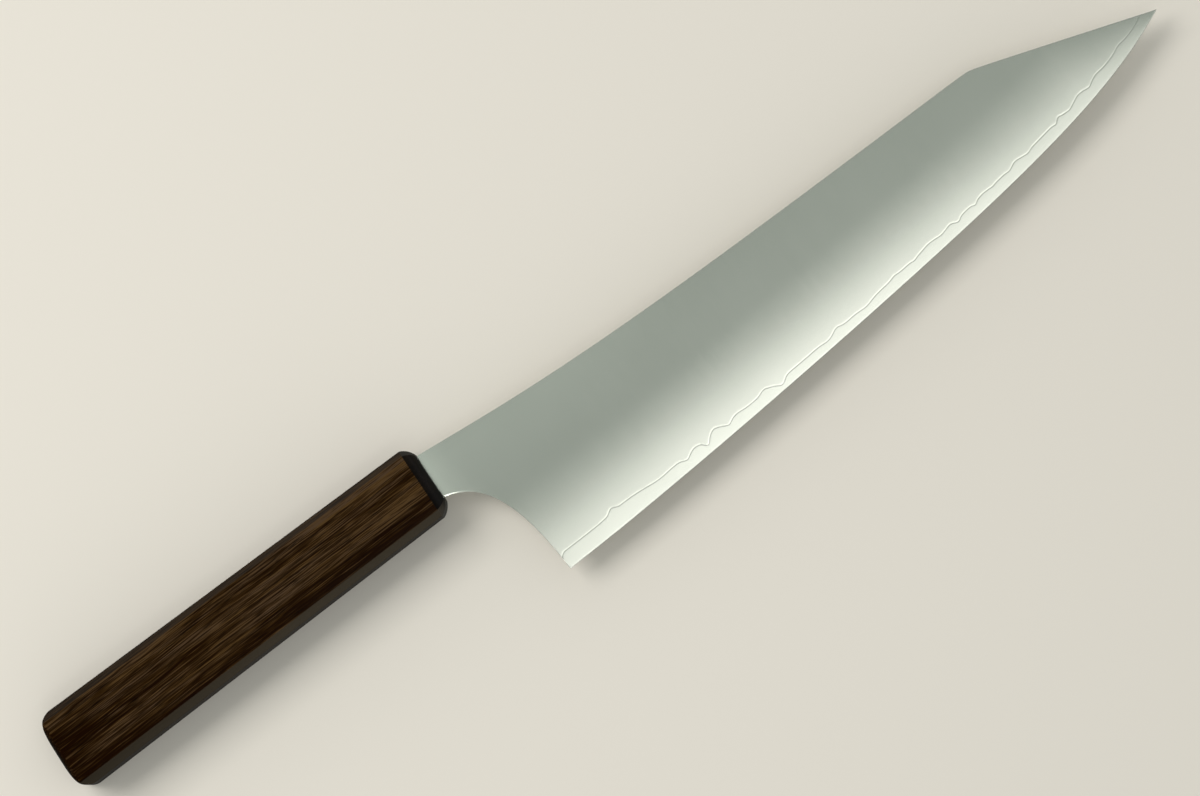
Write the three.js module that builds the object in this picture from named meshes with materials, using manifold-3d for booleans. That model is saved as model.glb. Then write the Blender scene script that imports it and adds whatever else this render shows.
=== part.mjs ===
// A gyuto kitchen knife in millimetres: a three-layer blade whose hidden tang is bedded in resin
// inside a one-piece octagonal wooden handle.
// Knife frame: X runs from the handle's front face to the tip, Y from the edge up to the spine,
// and Z out of the blade's right face. The handle's centre line is the X axis.
import * as THREE from 'three';
import { mergeVertices } from 'three/addons/utils/BufferGeometryUtils.js';
import Module from 'manifold-3d';

const wasm = await Module();
wasm.setup();

// Blade outline
const HEEL_AHEAD = 17.2; // heel, ahead of the handle's front face
const HEEL_DROP = 46.7; // heel, below the handle's centre line
const EDGE_LENGTH = 238.7; // heel to tip, measured along the knife
const BELLY_RISE = 18.4; // rise of the edge's long even curve
const BELLY_POWER = 1.45; // how late that curve rises
const TIP_SWEEP = 9.2; // further rise of the edge close to the tip
const SWEEP_POWER = 9; // how late the tip's sweep rises
const SPINE_RISE = 0.1; // straight spine, above the centre line
const NECK_RISE = 7.4; // neck's upper edge at the handle, above the centre line
const NECK_SPAN = 50; // length in which the neck falls to the straight spine
const NECK_POWER = 1.2; // how evenly it falls
const CLIP_AHEAD = 200.5; // corner where the spine turns down to the tip
const CLIP_SOFTNESS = 0.3; // rounding of that corner
const NECK_FALL = 7.3; // neck's underside at the handle, below the centre line
const CHOIL_RUN = 10; // how far the underside runs forward before it turns down
const CHOIL_DIP = 2.5; // how far it dips on that run
const CHOIL_TURN = 18; // level at which it is turning straight down to the heel
const CHOIL_SET_BACK = 0.4; // how far behind the heel it stands there

// Blade section
const NECK_THICKNESS = 2.3; // over both faces at the handle
const TIP_THICKNESS = 1.5; // the flats' taper, carried on to the tip
const EDGE_THICKNESS = 0.1;
const BEVEL_AT_HEEL = 27; // width of the rounded bevel, up from the edge
const BEVEL_AT_TIP = 20;

// Layers of the blade
const CORE_SHOWN = 4.8; // hard core left bare above the edge
const LONG_WAVE = { length: 27, height: 0.3 }; // forging waves of the line between the layers
const MIDDLE_WAVE = { length: 12.5, height: 0.35 };
const SHORT_WAVE = { length: 8.1, height: 0.25 };
const LAYER_STEP = 0.06; // cladding stands this far out of the bare core
const LAYER_GAP = 0.02; // weld line between core and cladding

// Tang and its bedding
const TANG_LENGTH = 95; // behind the handle's front face
const TANG_HEIGHT = 11; // at the neck's shoulders
const TANG_END_HEIGHT = 6.5;
const TANG_END_THICKNESS = 1.8;
const SHOULDER_GAP = 0.3; // neck's shoulders to the handle's front face
const BEDDING_WALL = 0.6; // resin round the tang
const BEDDING_END = 3; // resin behind the tang's end
const BEDDING_GAP = 0.05; // resin to tang, and resin to wood

// Handle
const HANDLE_LENGTH = 138;
const HANDLE_WIDTH = 22.65; // spine side to edge side, at the front
const HANDLE_END_WIDTH = 25.1;
const HANDLE_THICKNESS = 18.4; // face to face, at the front
const HANDLE_END_THICKNESS = 20.2;
const FACET_WIDTH = 2; // octagon's slanted sides, measured along Y
const FACET_THICKNESS = 3.6; // and along Z
const FRONT_CHAMFER_LENGTH = 3.1;
const FRONT_CHAMFER_DEPTH = 2.85;
const END_SLANT = 5.6; // degrees that the butt leans, further back on the edge side
const SPINE_CORNER = 3.5; // rounding of the butt on the spine side
const EDGE_CORNER = 2; // and on the edge side
const FACE_CORNER = 1.2; // and on the two faces

// How finely the curves are cut
const EDGE_STEP = 3.2; // longest step along the edge
const CHOIL_STEPS = 12;
const BARE_CORE_STEPS = 2;
const BEVEL_STEPS = 4;
const CORNER_STEPS = 3;
const LEAST_STEP = 0.05; // points of one column closer than this become one

const TIP_AHEAD = HEEL_AHEAD + EDGE_LENGTH;
const { lerp, clamp, degToRad } = THREE.MathUtils;

// Outline curves
function edgeHeight(x) {
  const along = Math.max((x - HEEL_AHEAD) / EDGE_LENGTH, 0);
  return BELLY_RISE * along ** BELLY_POWER + TIP_SWEEP * along ** SWEEP_POWER - HEEL_DROP;
}

// Rise of the edge for each millimetre along the knife
function edgeSlope(x) {
  const along = Math.max((x - HEEL_AHEAD) / EDGE_LENGTH, 0);
  const belly = BELLY_RISE * BELLY_POWER * along ** (BELLY_POWER - 1);
  const sweep = TIP_SWEEP * SWEEP_POWER * along ** (SWEEP_POWER - 1);
  return (belly + sweep) / EDGE_LENGTH;
}

function spineHeight(x) {
  const fall = Math.exp(-((x / NECK_SPAN) ** NECK_POWER));
  const straight = lerp(SPINE_RISE, NECK_RISE, fall);
  const alongClip = (x - CLIP_AHEAD) / (TIP_AHEAD - CLIP_AHEAD);
  const clipped = lerp(SPINE_RISE, edgeHeight(TIP_AHEAD), alongClip);
  return (straight + clipped) / 2 - Math.hypot((straight - clipped) / 2, CLIP_SOFTNESS);
}

function tangHeight(x) {
  return lerp(TANG_HEIGHT, TANG_END_HEIGHT, clamp(-x / TANG_LENGTH, 0, 1));
}

// Blade section: the flats run from the spine down to the bevel, which rounds over to the edge
function flatThickness(x) {
  if (x < 0) {
    return lerp(NECK_THICKNESS, TANG_END_THICKNESS, -x / TANG_LENGTH);
  }
  return lerp(NECK_THICKNESS, TIP_THICKNESS, x / TIP_AHEAD);
}

function bevelWidth(x) {
  return lerp(BEVEL_AT_HEEL, BEVEL_AT_TIP, Math.max(x - HEEL_AHEAD, 0) / EDGE_LENGTH);
}

// Half the blade's thickness under the cladding's step, at a distance from the edge
function groundHalf(x, distance) {
  const flat = flatThickness(x) / 2 - LAYER_STEP;
  const below = Math.max(1 - distance / bevelWidth(x), 0);
  return lerp(flat, EDGE_THICKNESS / 2, below ** 2);
}

function wave(x, { length, height }) {
  return height * Math.sin((2 * Math.PI * (x - HEEL_AHEAD)) / length);
}

function coreShown(x) {
  return CORE_SHOWN + wave(x, LONG_WAVE) + wave(x, MIDDLE_WAVE) + wave(x, SHORT_WAVE);
}

// Half the core's thickness where cladding covers it
function coveredHalf(x) {
  const station = Math.max(x, HEEL_AHEAD);
  return groundHalf(station, coreShown(station));
}

function edgeDistance(x, y) {
  return (y - edgeHeight(x)) / Math.hypot(1, edgeSlope(x));
}

function coreHalf(x, y) {
  return Math.min(groundHalf(x, edgeDistance(x, y)), coveredHalf(x));
}

function claddingOuter(x, y) {
  return groundHalf(x, edgeDistance(x, y)) + LAYER_STEP;
}

function claddingInner(x, y) {
  return coreHalf(x, y) + LAYER_GAP;
}

// Columns across the blade: the tang, then the choil curve under the neck, then the edge
function bladeColumns() {
  const tangEnd = { x: -TANG_LENGTH, low: -TANG_END_HEIGHT / 2, high: TANG_END_HEIGHT / 2, inTang: true };
  const choil = new THREE.CubicBezierCurve(
    new THREE.Vector2(SHOULDER_GAP, -NECK_FALL),
    new THREE.Vector2(CHOIL_RUN, -NECK_FALL - CHOIL_DIP),
    new THREE.Vector2(HEEL_AHEAD - CHOIL_SET_BACK, -CHOIL_TURN),
    new THREE.Vector2(HEEL_AHEAD, -HEEL_DROP),
  );
  const neck = choil.getPoints(CHOIL_STEPS).map(({ x, y }) => ({ x, low: y, high: spineHeight(x) }));
  const steps = Math.ceil(EDGE_LENGTH / EDGE_STEP);
  const blade = [];
  for (let step = 1; step <= steps; step += 1) {
    const x = HEEL_AHEAD + (EDGE_LENGTH * step) / steps;
    const low = edgeHeight(x);
    blade.push({ x, low, high: Math.max(spineHeight(x), low) });
  }
  return [tangEnd, ...neck, ...blade];
}

// Points of one column, upwards: at distances from the edge, at the tang's two edges and at the spine
function columnRows({ x, low, high }, distances) {
  const stretch = Math.hypot(1, edgeSlope(x));
  const fromEdge = distances.map((distance) => edgeHeight(x) + distance * stretch);
  const tangHalf = tangHeight(x) / 2;
  let reached = low;
  return [...fromEdge, -tangHalf, tangHalf, high].map((y) => {
    const near = y - reached < LEAST_STEP ? reached : y;
    reached = high - near < LEAST_STEP ? high : near;
    return reached;
  });
}

function coreRows(column) {
  const distances = [];
  for (let step = 0; step <= BARE_CORE_STEPS; step += 1) {
    distances.push((coreShown(column.x) * step) / BARE_CORE_STEPS);
  }
  return columnRows(column, distances);
}

function claddingRows(column) {
  const distances = [];
  for (let step = 0; step <= BEVEL_STEPS; step += 1) {
    distances.push(lerp(coreShown(column.x), bevelWidth(column.x), step / BEVEL_STEPS));
  }
  return columnRows(column, distances);
}

// A closed plate over a grid of columns and rows, with its own top and bottom surfaces
function plate(columns, rowsOf, topOf, bottomOf) {
  const spots = [];
  const grid = columns.map((column) => {
    let last = -1;
    return rowsOf(column).map((y) => {
      if (last < 0 || y > spots[last].y) {
        last = spots.push({ x: column.x, y }) - 1;
      }
      return last;
    });
  });
  const tangRow = grid[0].length - 3;
  const triangles = [];
  for (let i = 0; i + 1 < columns.length; i += 1) {
    for (let j = 0; j + 1 < grid[i].length; j += 1) {
      if (columns[i].inTang && j !== tangRow) {
        continue;
      }
      const [a, b, c, d] = [grid[i][j], grid[i + 1][j], grid[i + 1][j + 1], grid[i][j + 1]];
      triangles.push(...[[a, b, c], [a, c, d]].filter((triangle) => new Set(triangle).size === 3));
    }
  }
  const rim = new Map();
  for (const triangle of triangles) {
    triangle.forEach((from, k) => {
      const to = triangle[(k + 1) % 3];
      if (!rim.delete(`${to} ${from}`)) {
        rim.set(`${from} ${to}`, [from, to]);
      }
    });
  }
  const top = ({ x, y }) => [x, y, topOf(x, y)];
  const bottom = ({ x, y }) => [x, y, bottomOf(x, y)];
  const corners = [];
  for (const [a, b, c] of triangles) {
    corners.push(top(spots[a]), top(spots[b]), top(spots[c]));
    corners.push(bottom(spots[c]), bottom(spots[b]), bottom(spots[a]));
  }
  for (const [from, to] of rim.values()) {
    corners.push(top(spots[to]), top(spots[from]), bottom(spots[from]));
    corners.push(top(spots[to]), bottom(spots[from]), bottom(spots[to]));
  }
  return closedGeometry(corners);
}

function closedGeometry(corners) {
  const geometry = new THREE.BufferGeometry();
  geometry.setAttribute('position', new THREE.Float32BufferAttribute(corners.flat(), 3));
  return mergeVertices(geometry);
}

// A closed solid through rings of points, from the hindmost ring to the foremost
function loft(rings) {
  const corners = [];
  const sides = rings[0].length;
  for (let k = 0; k + 1 < rings.length; k += 1) {
    for (let i = 0; i < sides; i += 1) {
      const next = (i + 1) % sides;
      corners.push(rings[k][i], rings[k][next], rings[k + 1][next]);
      corners.push(rings[k][i], rings[k + 1][next], rings[k + 1][i]);
    }
  }
  const [back, front] = [rings[0], rings.at(-1)];
  for (let i = 1; i + 1 < sides; i += 1) {
    corners.push(back[0], back[i + 1], back[i], front[0], front[i], front[i + 1]);
  }
  return closedGeometry(corners);
}

// Cut one closed geometry out of another
function solid(geometry) {
  const vertProperties = geometry.getAttribute('position').array;
  const triVerts = Uint32Array.from(geometry.getIndex().array);
  return new wasm.Manifold(new wasm.Mesh({ numProp: 3, vertProperties, triVerts }));
}

function cut(body, tool) {
  const { vertProperties, triVerts } = solid(body).subtract(solid(tool)).getMesh();
  const geometry = new THREE.BufferGeometry();
  geometry.setAttribute('position', new THREE.BufferAttribute(vertProperties, 3));
  geometry.setIndex(new THREE.BufferAttribute(triVerts, 1));
  return geometry;
}

// A bar that follows the tang, larger than it by a margin on every side
function tangBar(back, front, margin) {
  const ring = (x) => {
    const y = tangHeight(x) / 2 + margin;
    const z = flatThickness(Math.min(x, 0)) / 2 + margin;
    return [[x, y, -z], [x, y, z], [x, -y, z], [x, -y, -z]];
  };
  return loft([back, -TANG_LENGTH, 0, front].map(ring));
}

// Handle: octagonal rings from the rounded, leaning butt to the chamfered front
function octagon(width, thickness) {
  const [y, z] = [width / 2, thickness / 2];
  const [yIn, zIn] = [y - FACET_WIDTH, z - FACET_THICKNESS];
  return [[y, -zIn], [y, zIn], [yIn, z], [-yIn, z], [-y, zIn], [-y, -zIn], [-yIn, -z], [yIn, -z]];
}

function handleSection(x) {
  const along = -x / HANDLE_LENGTH;
  const width = lerp(HANDLE_WIDTH, HANDLE_END_WIDTH, along);
  return octagon(width, lerp(HANDLE_THICKNESS, HANDLE_END_THICKNESS, along));
}

// One ring of the butt's rounding: no turn is where the sides end, a quarter turn is the end face
function buttRing(turn) {
  const lean = Math.tan(degToRad(END_SLANT));
  return handleSection(-HANDLE_LENGTH).map(([across], side) => {
    const corner = across > 0 ? SPINE_CORNER : EDGE_CORNER;
    const x = lean * across - HANDLE_LENGTH + corner * (1 - Math.sin(turn));
    const [y, z] = handleSection(x)[side];
    const inset = 1 - Math.cos(turn);
    return [x, y - Math.sign(y) * corner * inset, z - Math.sign(z) * FACE_CORNER * inset];
  });
}

function handleSolid() {
  const rings = [];
  for (let step = CORNER_STEPS; step >= 0; step -= 1) {
    rings.push(buttRing((Math.PI / 2) * (step / CORNER_STEPS)));
  }
  rings.push(handleSection(-FRONT_CHAMFER_LENGTH).map(([y, z]) => [-FRONT_CHAMFER_LENGTH, y, z]));
  const bothSides = 2 * FRONT_CHAMFER_DEPTH;
  const face = octagon(HANDLE_WIDTH - bothSides, HANDLE_THICKNESS - bothSides);
  rings.push(face.map(([y, z]) => [0, y, z]));
  const socketMargin = BEDDING_WALL + 2 * BEDDING_GAP;
  const socket = tangBar(-TANG_LENGTH - BEDDING_END - BEDDING_GAP, FRONT_CHAMFER_LENGTH, socketMargin);
  return cut(loft(rings), socket);
}

function beddingSolid() {
  const outside = tangBar(-TANG_LENGTH - BEDDING_END, 0, BEDDING_WALL + BEDDING_GAP);
  const inside = tangBar(-TANG_LENGTH - BEDDING_GAP, FRONT_CHAMFER_LENGTH, BEDDING_GAP);
  return cut(outside, inside);
}

// Finishes
const coreSteel = new THREE.MeshStandardMaterial({ color: 0xd9dcd6, roughness: 0.3, metalness: 1 });
const rightSteel = new THREE.MeshStandardMaterial({ color: 0xb9beb6, roughness: 0.4, metalness: 1 });
const leftSteel = new THREE.MeshStandardMaterial({ color: 0xb9beb6, roughness: 0.4, metalness: 1 });
const darkWood = new THREE.MeshStandardMaterial({ color: 0x3a2814, roughness: 0.35, metalness: 0 });
const darkResin = new THREE.MeshStandardMaterial({ color: 0x1c1712, roughness: 0.3, metalness: 0 });

function piece(name, geometry, material) {
  geometry.computeVertexNormals();
  const mesh = new THREE.Mesh(geometry, material);
  mesh.name = name;
  return mesh;
}

const columns = bladeColumns();
const below = (surface) => (x, y) => -surface(x, y);

const knife = new THREE.Group();
knife.add(piece('core_steel', plate(columns, coreRows, coreHalf, below(coreHalf)), coreSteel));
knife.add(piece('right_cladding', plate(columns, claddingRows, claddingOuter, claddingInner), rightSteel));
const leftFaces = [below(claddingInner), below(claddingOuter)];
knife.add(piece('left_cladding', plate(columns, claddingRows, ...leftFaces), leftSteel));
knife.add(piece('handle', handleSolid(), darkWood));
knife.add(piece('tang_bedding', beddingSolid(), darkResin));

// The knife lies on its side: its origin is under the middle of its outline, on the table
const outline = new THREE.Box3().setFromObject(knife);
const middle = outline.getCenter(new THREE.Vector3());
knife.position.set(-middle.x, -middle.y, -outline.min.z);

export default knife;
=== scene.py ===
# %% [markdown]
# # A gyuto, cell by cell
# A gyuto is the broad all-round knife of a Japanese kitchen. This one has a blade of three steel
# layers, hard in the middle and softer outside, and a one-piece wooden handle with eight sides.
# The solids that carry the sizes are loaded first and are never moved. Each piece that shows is
# then built over its solid, in metres, in the same frame: +X runs from the handle to the tip, +Y
# from the edge to the spine, and +Z up out of the blade's right face.

import math

import bmesh
import bpy
import numpy as np
from mathutils import Matrix, Vector


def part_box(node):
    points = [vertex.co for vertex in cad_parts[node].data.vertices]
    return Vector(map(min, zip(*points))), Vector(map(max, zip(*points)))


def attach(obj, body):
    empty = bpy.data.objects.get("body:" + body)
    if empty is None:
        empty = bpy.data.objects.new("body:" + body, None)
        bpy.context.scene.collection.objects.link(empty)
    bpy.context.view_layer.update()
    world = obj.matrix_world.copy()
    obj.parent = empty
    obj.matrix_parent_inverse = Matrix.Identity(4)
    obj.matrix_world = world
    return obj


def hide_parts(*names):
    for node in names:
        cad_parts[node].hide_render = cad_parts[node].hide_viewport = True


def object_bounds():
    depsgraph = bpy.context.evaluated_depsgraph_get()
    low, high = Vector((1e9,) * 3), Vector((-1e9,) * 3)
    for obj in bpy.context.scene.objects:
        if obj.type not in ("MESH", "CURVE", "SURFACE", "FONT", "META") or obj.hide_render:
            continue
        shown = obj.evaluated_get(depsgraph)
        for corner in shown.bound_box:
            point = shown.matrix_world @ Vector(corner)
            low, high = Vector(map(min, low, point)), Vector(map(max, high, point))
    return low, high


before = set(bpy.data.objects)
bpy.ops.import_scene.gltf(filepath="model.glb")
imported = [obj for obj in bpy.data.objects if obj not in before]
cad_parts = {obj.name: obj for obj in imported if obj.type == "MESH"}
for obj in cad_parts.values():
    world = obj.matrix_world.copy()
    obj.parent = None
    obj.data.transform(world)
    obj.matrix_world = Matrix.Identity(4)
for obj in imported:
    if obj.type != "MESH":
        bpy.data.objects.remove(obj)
cad_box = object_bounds()
print("solids:", sorted(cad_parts))
print("box of the solids, in metres:", [tuple(corner) for corner in cad_box])

# %% [markdown]
# ## Where the knife lies
# A knife maker measures from the handle's front face and its centre line, so this script does too.
# That point could be typed in, but then it would be wrong as soon as the solids changed. The resin
# in the handle starts at that face and is centred on that line, so its box gives the point. The
# box of the core gives the lengths of the blade and the tang.

# %% Find the handle's front face and the main lengths
MM = 0.001

bed_low, bed_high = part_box("tang_bedding")
core_low, core_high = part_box("core_steel")

FRONT = Vector((bed_high.x, (bed_low.y + bed_high.y) / 2, (bed_low.z + bed_high.z) / 2))
TIP_AHEAD = core_high.x - FRONT.x
HEEL_DROP = FRONT.y - core_low.y
TANG_LENGTH = FRONT.x - core_low.x
print("front face of the handle:", tuple(FRONT))
print("tip ahead, heel below, tang behind:", TIP_AHEAD, HEEL_DROP, TANG_LENGTH)

# %% [markdown]
# ## The outline of the blade
# The edge is almost straight at the heel, bellies up towards the front and sweeps faster at the
# very tip. The spine comes out of the handle a little high, runs straight, and is clipped off in a
# long slant to the tip. A traced outline would need hundreds of points. A sum of powers for the
# edge, a blend of two lines for the spine and one Bezier curve for the finger notch give the same
# curves from a few sizes, at any fineness.

# %% Curves of the edge and the spine, from the handle's front face
HEEL_AHEAD = 17.2 * MM
BELLY_RISE = 18.4 * MM
BELLY_POWER = 1.45
TIP_SWEEP = 9.2 * MM
SWEEP_POWER = 9
SPINE_RISE = 0.1 * MM
NECK_RISE = 7.4 * MM
NECK_SPAN = 50 * MM
NECK_POWER = 1.2
CLIP_AHEAD = 200.5 * MM
CLIP_SOFTNESS = 0.3 * MM
EDGE_LENGTH = TIP_AHEAD - HEEL_AHEAD


def lerp(start, end, share):
    return start + (end - start) * share


def edge_height(x):
    along = np.maximum(x - HEEL_AHEAD, 0) / EDGE_LENGTH
    return BELLY_RISE * along**BELLY_POWER + TIP_SWEEP * along**SWEEP_POWER - HEEL_DROP


def edge_slope(x):
    along = np.maximum(x - HEEL_AHEAD, 0) / EDGE_LENGTH
    belly = BELLY_RISE * BELLY_POWER * along ** (BELLY_POWER - 1)
    sweep = TIP_SWEEP * SWEEP_POWER * along ** (SWEEP_POWER - 1)
    return (belly + sweep) / EDGE_LENGTH


def edge_distance(x, y):
    return (y - edge_height(x)) / np.hypot(1, edge_slope(x))


def spine_height(x):
    straight = lerp(SPINE_RISE, NECK_RISE, np.exp(-((np.maximum(x, 0) / NECK_SPAN) ** NECK_POWER)))
    tip_height = edge_height(TIP_AHEAD)
    clipped = lerp(SPINE_RISE, tip_height, (x - CLIP_AHEAD) / (TIP_AHEAD - CLIP_AHEAD))
    half_apart = (straight - clipped) / 2
    return (straight + clipped) / 2 - np.hypot(half_apart, CLIP_SOFTNESS)


print("blade height at the heel:", spine_height(HEEL_AHEAD) - edge_height(HEEL_AHEAD))

# %% The finger notch behind the heel
SHOULDER_AHEAD = -0.03 * MM
NECK_FALL = 7.3 * MM
NOTCH_RUN = 10 * MM
NOTCH_DIP = 2.5 * MM
NOTCH_TURN = 18 * MM
NOTCH_SET_BACK = 0.4 * MM

NOTCH_POINTS = np.array([
    (SHOULDER_AHEAD, -NECK_FALL),
    (NOTCH_RUN, -NECK_FALL - NOTCH_DIP),
    (HEEL_AHEAD - NOTCH_SET_BACK, -NOTCH_TURN),
    (HEEL_AHEAD, -HEEL_DROP),
])


def notch_curve(share):
    """Points of the notch's cubic Bezier curve, from the neck at 0 to the heel at 1."""
    share = np.asarray(share)[:, None]
    start, pull_out, pull_back, end = NOTCH_POINTS
    rest = 1 - share
    near_neck = rest**3 * start + 3 * rest**2 * share * pull_out
    near_heel = 3 * rest * share**2 * pull_back + share**3 * end
    return near_neck + near_heel


print("notch, halfway:", notch_curve([0.5])[0])

# %% [markdown]
# ## The weld line
# The maker forges soft steel over both sides of a hard core, then grinds the bevels until the core
# comes out along the edge. Where the layers meet, the hammer has left a wavy line. Sine waves would
# look too regular, and noise would put its bumps anywhere. So the line is a list of hammer marks,
# each a smooth bump in millimetres: its place, how much wider or narrower it leaves the bare strip,
# and its reach.

# %% Width of the bare core above the edge
STRIP_WIDTH = 3.75
FINE_STEPS = 4000
HAMMER_MARKS = [
    (17, 1.4, 42), (42, 0.75, 7.5), (116, -0.75, 28),
    (17, -1.2, 0.8), (37.4, 1.15, 1.6), (54, -0.35, 4), (64.2, -1.0, 1.6), (68.3, 0.45, 1.9),
    (71.9, -1.5, 1.3), (76, 1.15, 2.1), (80.5, -0.75, 1.3), (84.3, 0.4, 2.2), (94.7, 0.85, 1.9),
    (100.2, -1.5, 1.9), (118.5, -0.45, 2), (123.1, 0.8, 1.7), (134, -0.6, 3), (146, 0.4, 1.5),
    (153.6, -0.4, 1.2), (159.7, 0.4, 2.5), (164.5, -0.25, 1.5), (168.2, 0.3, 1.2), (171, -0.85, 1.3),
    (178, -0.7, 0.9), (181.5, 0.3, 2), (185.3, -0.25, 0.8), (192, -0.4, 1), (195.2, 0.55, 1.6),
    (199.6, -0.5, 1.3), (211.4, -0.5, 0.9), (213.3, 0.6, 1), (217.3, -0.5, 1.4), (222, 0.6, 2),
    (226, -0.45, 1.1), (229.8, 0.5, 2), (240.3, 0.45, 1.6), (247, -0.4, 4),
]


def core_shown(x):
    """Width of the bare core strip, measured square to the edge."""
    place, widening, reach = np.array(HAMMER_MARKS).T
    bumps = widening * np.exp(-(((np.asarray(x)[..., None] / MM - place) / reach) ** 2))
    return (STRIP_WIDTH + bumps.sum(axis=-1)) * MM


def weld_height(x):
    return edge_height(x) + core_shown(x) * np.hypot(1, edge_slope(x))


fine_ahead = np.linspace(CLIP_AHEAD, TIP_AHEAD, FINE_STEPS)
WELD_END = fine_ahead[np.argmax(weld_height(fine_ahead) >= spine_height(fine_ahead))]
print("the weld line meets the spine", TIP_AHEAD - WELD_END, "m behind the tip")

# %% [markdown]
# ## Camera and floor
# The knife lies on a plain pale floor. It is seen from straight above but for a few degrees, and
# turned so that the tip points to the upper right. A long lens keeps the outline free of
# perspective. The camera could be dragged into place by eye. Here its axes are worked out from
# those two angles, and its place from the width of the view, so it can be set again exactly.

# %% Camera at the photograph's angle
IMAGE_WIDTH_SHOWN = 356.2 * MM
TIP_ANGLE = math.radians(37.06)
CAMERA_TILT = math.radians(4.1)
VIEW_CENTRE = Vector((54.6 * MM, -11.6 * MM, 0))
LENS = 200
SENSOR = 36

along_knife = Vector((1, 0, 0))
across_knife = Vector((0, math.cos(CAMERA_TILT), math.sin(CAMERA_TILT)))
camera_right = along_knife * math.cos(TIP_ANGLE) - across_knife * math.sin(TIP_ANGLE)
camera_up = along_knife * math.sin(TIP_ANGLE) + across_knife * math.cos(TIP_ANGLE)
camera_back = camera_right.cross(camera_up)
camera_distance = IMAGE_WIDTH_SHOWN * LENS / SENSOR


def add_object(name, data):
    item = bpy.data.objects.new(name, data)
    bpy.context.scene.collection.objects.link(item)
    return item


def placed(right, up, back, place):
    """The matrix of an object with these three axes at this place."""
    return Matrix.Translation(place) @ Matrix((right, up, back)).transposed().to_4x4()


camera_data = bpy.data.cameras.new("camera")
camera_data.lens = LENS
camera_data.sensor_width = SENSOR
camera = add_object("camera", camera_data)
camera_place = FRONT + VIEW_CENTRE + camera_back * camera_distance
camera.matrix_world = placed(camera_right, camera_up, camera_back, camera_place)
bpy.context.scene.camera = camera
bpy.context.scene.view_settings.view_transform = "Standard"
print("camera:", tuple(camera_place), "distance:", camera_distance)

# %% Plain pale floor
FLOOR_SIZE = 8
FLOOR_TONE = (0.80, 0.765, 0.70, 1)


def new_material(name):
    """A material, its node tree and the shader in it."""
    material = bpy.data.materials.new(name)
    material.use_nodes = True
    return material, material.node_tree, material.node_tree.nodes["Principled BSDF"]


def set_inputs(node, settings):
    for name, value in settings.items():
        node.inputs[name].default_value = value


floor_mesh = bpy.data.meshes.new("floor")
floor_edge = FLOOR_SIZE / 2
floor_signs = [(-1, -1), (1, -1), (1, 1), (-1, 1)]
floor_corners = [(x * floor_edge, y * floor_edge, cad_box[0].z) for x, y in floor_signs]
floor_mesh.from_pydata(floor_corners, [], [(0, 1, 2, 3)])
floor_finish, _, floor_shader = new_material("floor_finish")
set_inputs(floor_shader, {"Base Color": FLOOR_TONE, "Roughness": 0.9, "Specular IOR Level": 0.1})
floor_mesh.materials.append(floor_finish)
floor = add_object("floor", floor_mesh)
print("floor at", cad_box[0].z)

# %% [markdown]
# ## A studio round the knife
# Polished steel shows what is round it, so the room matters more than the lamps. A dim ceiling over
# pale walls leaves the flat of the blade a calm grey. A softbox high above starts just off the
# zenith, on the edge side. That is where the bevel turns as it curves, so the steel brightens
# little by little down to the edge. A lamp on the spine side puts the soft shadow under the edge.
# Flags keep its mirror image out of the steel, which would otherwise flash white from some sides.
# A small third lamp makes the polished rim under the neck glint.

# %% Walls and ceiling
WALL_TONE = (0.86, 0.85, 0.83, 1)
UPPER_WALL_TONE = (0.45, 0.46, 0.45, 1)
CEILING_TONE = (0.37, 0.4, 0.373, 1)
ROOM_STOPS = [(0.0, WALL_TONE), (0.25, WALL_TONE), (0.6, UPPER_WALL_TONE), (0.93, CEILING_TONE)]


def join(tree, value, socket):
    """Feeds a socket from another socket, or sets it to a plain value."""
    if isinstance(value, bpy.types.NodeSocket):
        tree.links.new(value, socket)
    else:
        socket.default_value = value


def split(tree, vector):
    node = tree.nodes.new("ShaderNodeSeparateXYZ")
    join(tree, vector, node.inputs[0])
    return node.outputs


def colour_ramp(tree, share, stops):
    """A colour that runs through these stops as the share goes from 0 to 1."""
    ramp = tree.nodes.new("ShaderNodeValToRGB")
    while len(ramp.color_ramp.elements) < len(stops):
        ramp.color_ramp.elements.new(1)
    for element, (place, colour) in zip(ramp.color_ramp.elements, stops):
        element.position = place
        element.color = colour
    join(tree, share, ramp.inputs["Fac"])
    return ramp.outputs["Color"]


world = bpy.data.worlds.new("studio")
world.use_nodes = True
room_tree = world.node_tree
direction = split(room_tree, room_tree.nodes.new("ShaderNodeTexCoord").outputs["Generated"])
room_colour = colour_ramp(room_tree, direction["Z"], ROOM_STOPS)
join(room_tree, room_colour, room_tree.nodes["Background"].inputs["Color"])
bpy.context.scene.world = world
print("room stops:", [place for place, _ in ROOM_STOPS])

# %% Three softboxes
SOFTBOXES = {
    "edge_softbox": ((0.21, -0.442, 2.4), 0.68, 0.76, 1.82, (1.0, 0.95, 0.933)),
    "spine_softbox": ((-0.6, 0.8, 1.25), 0.8, 1.0, 5.4, (1.0, 0.97, 0.93)),
    "neck_softbox": ((-0.37, -0.828, 2.4), 0.3, 0.3, 5, (1.0, 0.97, 0.95)),
}


def add_softbox(name, place, across, along, radiance, tone):
    """An area lamp with one side along the knife, placed from the middle of the view."""
    lamp = bpy.data.lights.new(name, "AREA")
    lamp.shape = "RECTANGLE"
    lamp.size = along
    lamp.size_y = across
    lamp.energy = radiance * math.pi * along * across
    lamp.color = tone
    back = Vector((0, place[1], place[2])).normalized()
    softbox = add_object(name, lamp)
    lamp_place = FRONT + VIEW_CENTRE + Vector(place)
    softbox.matrix_world = placed(along_knife, back.cross(along_knife), back, lamp_place)
    return softbox


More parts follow.
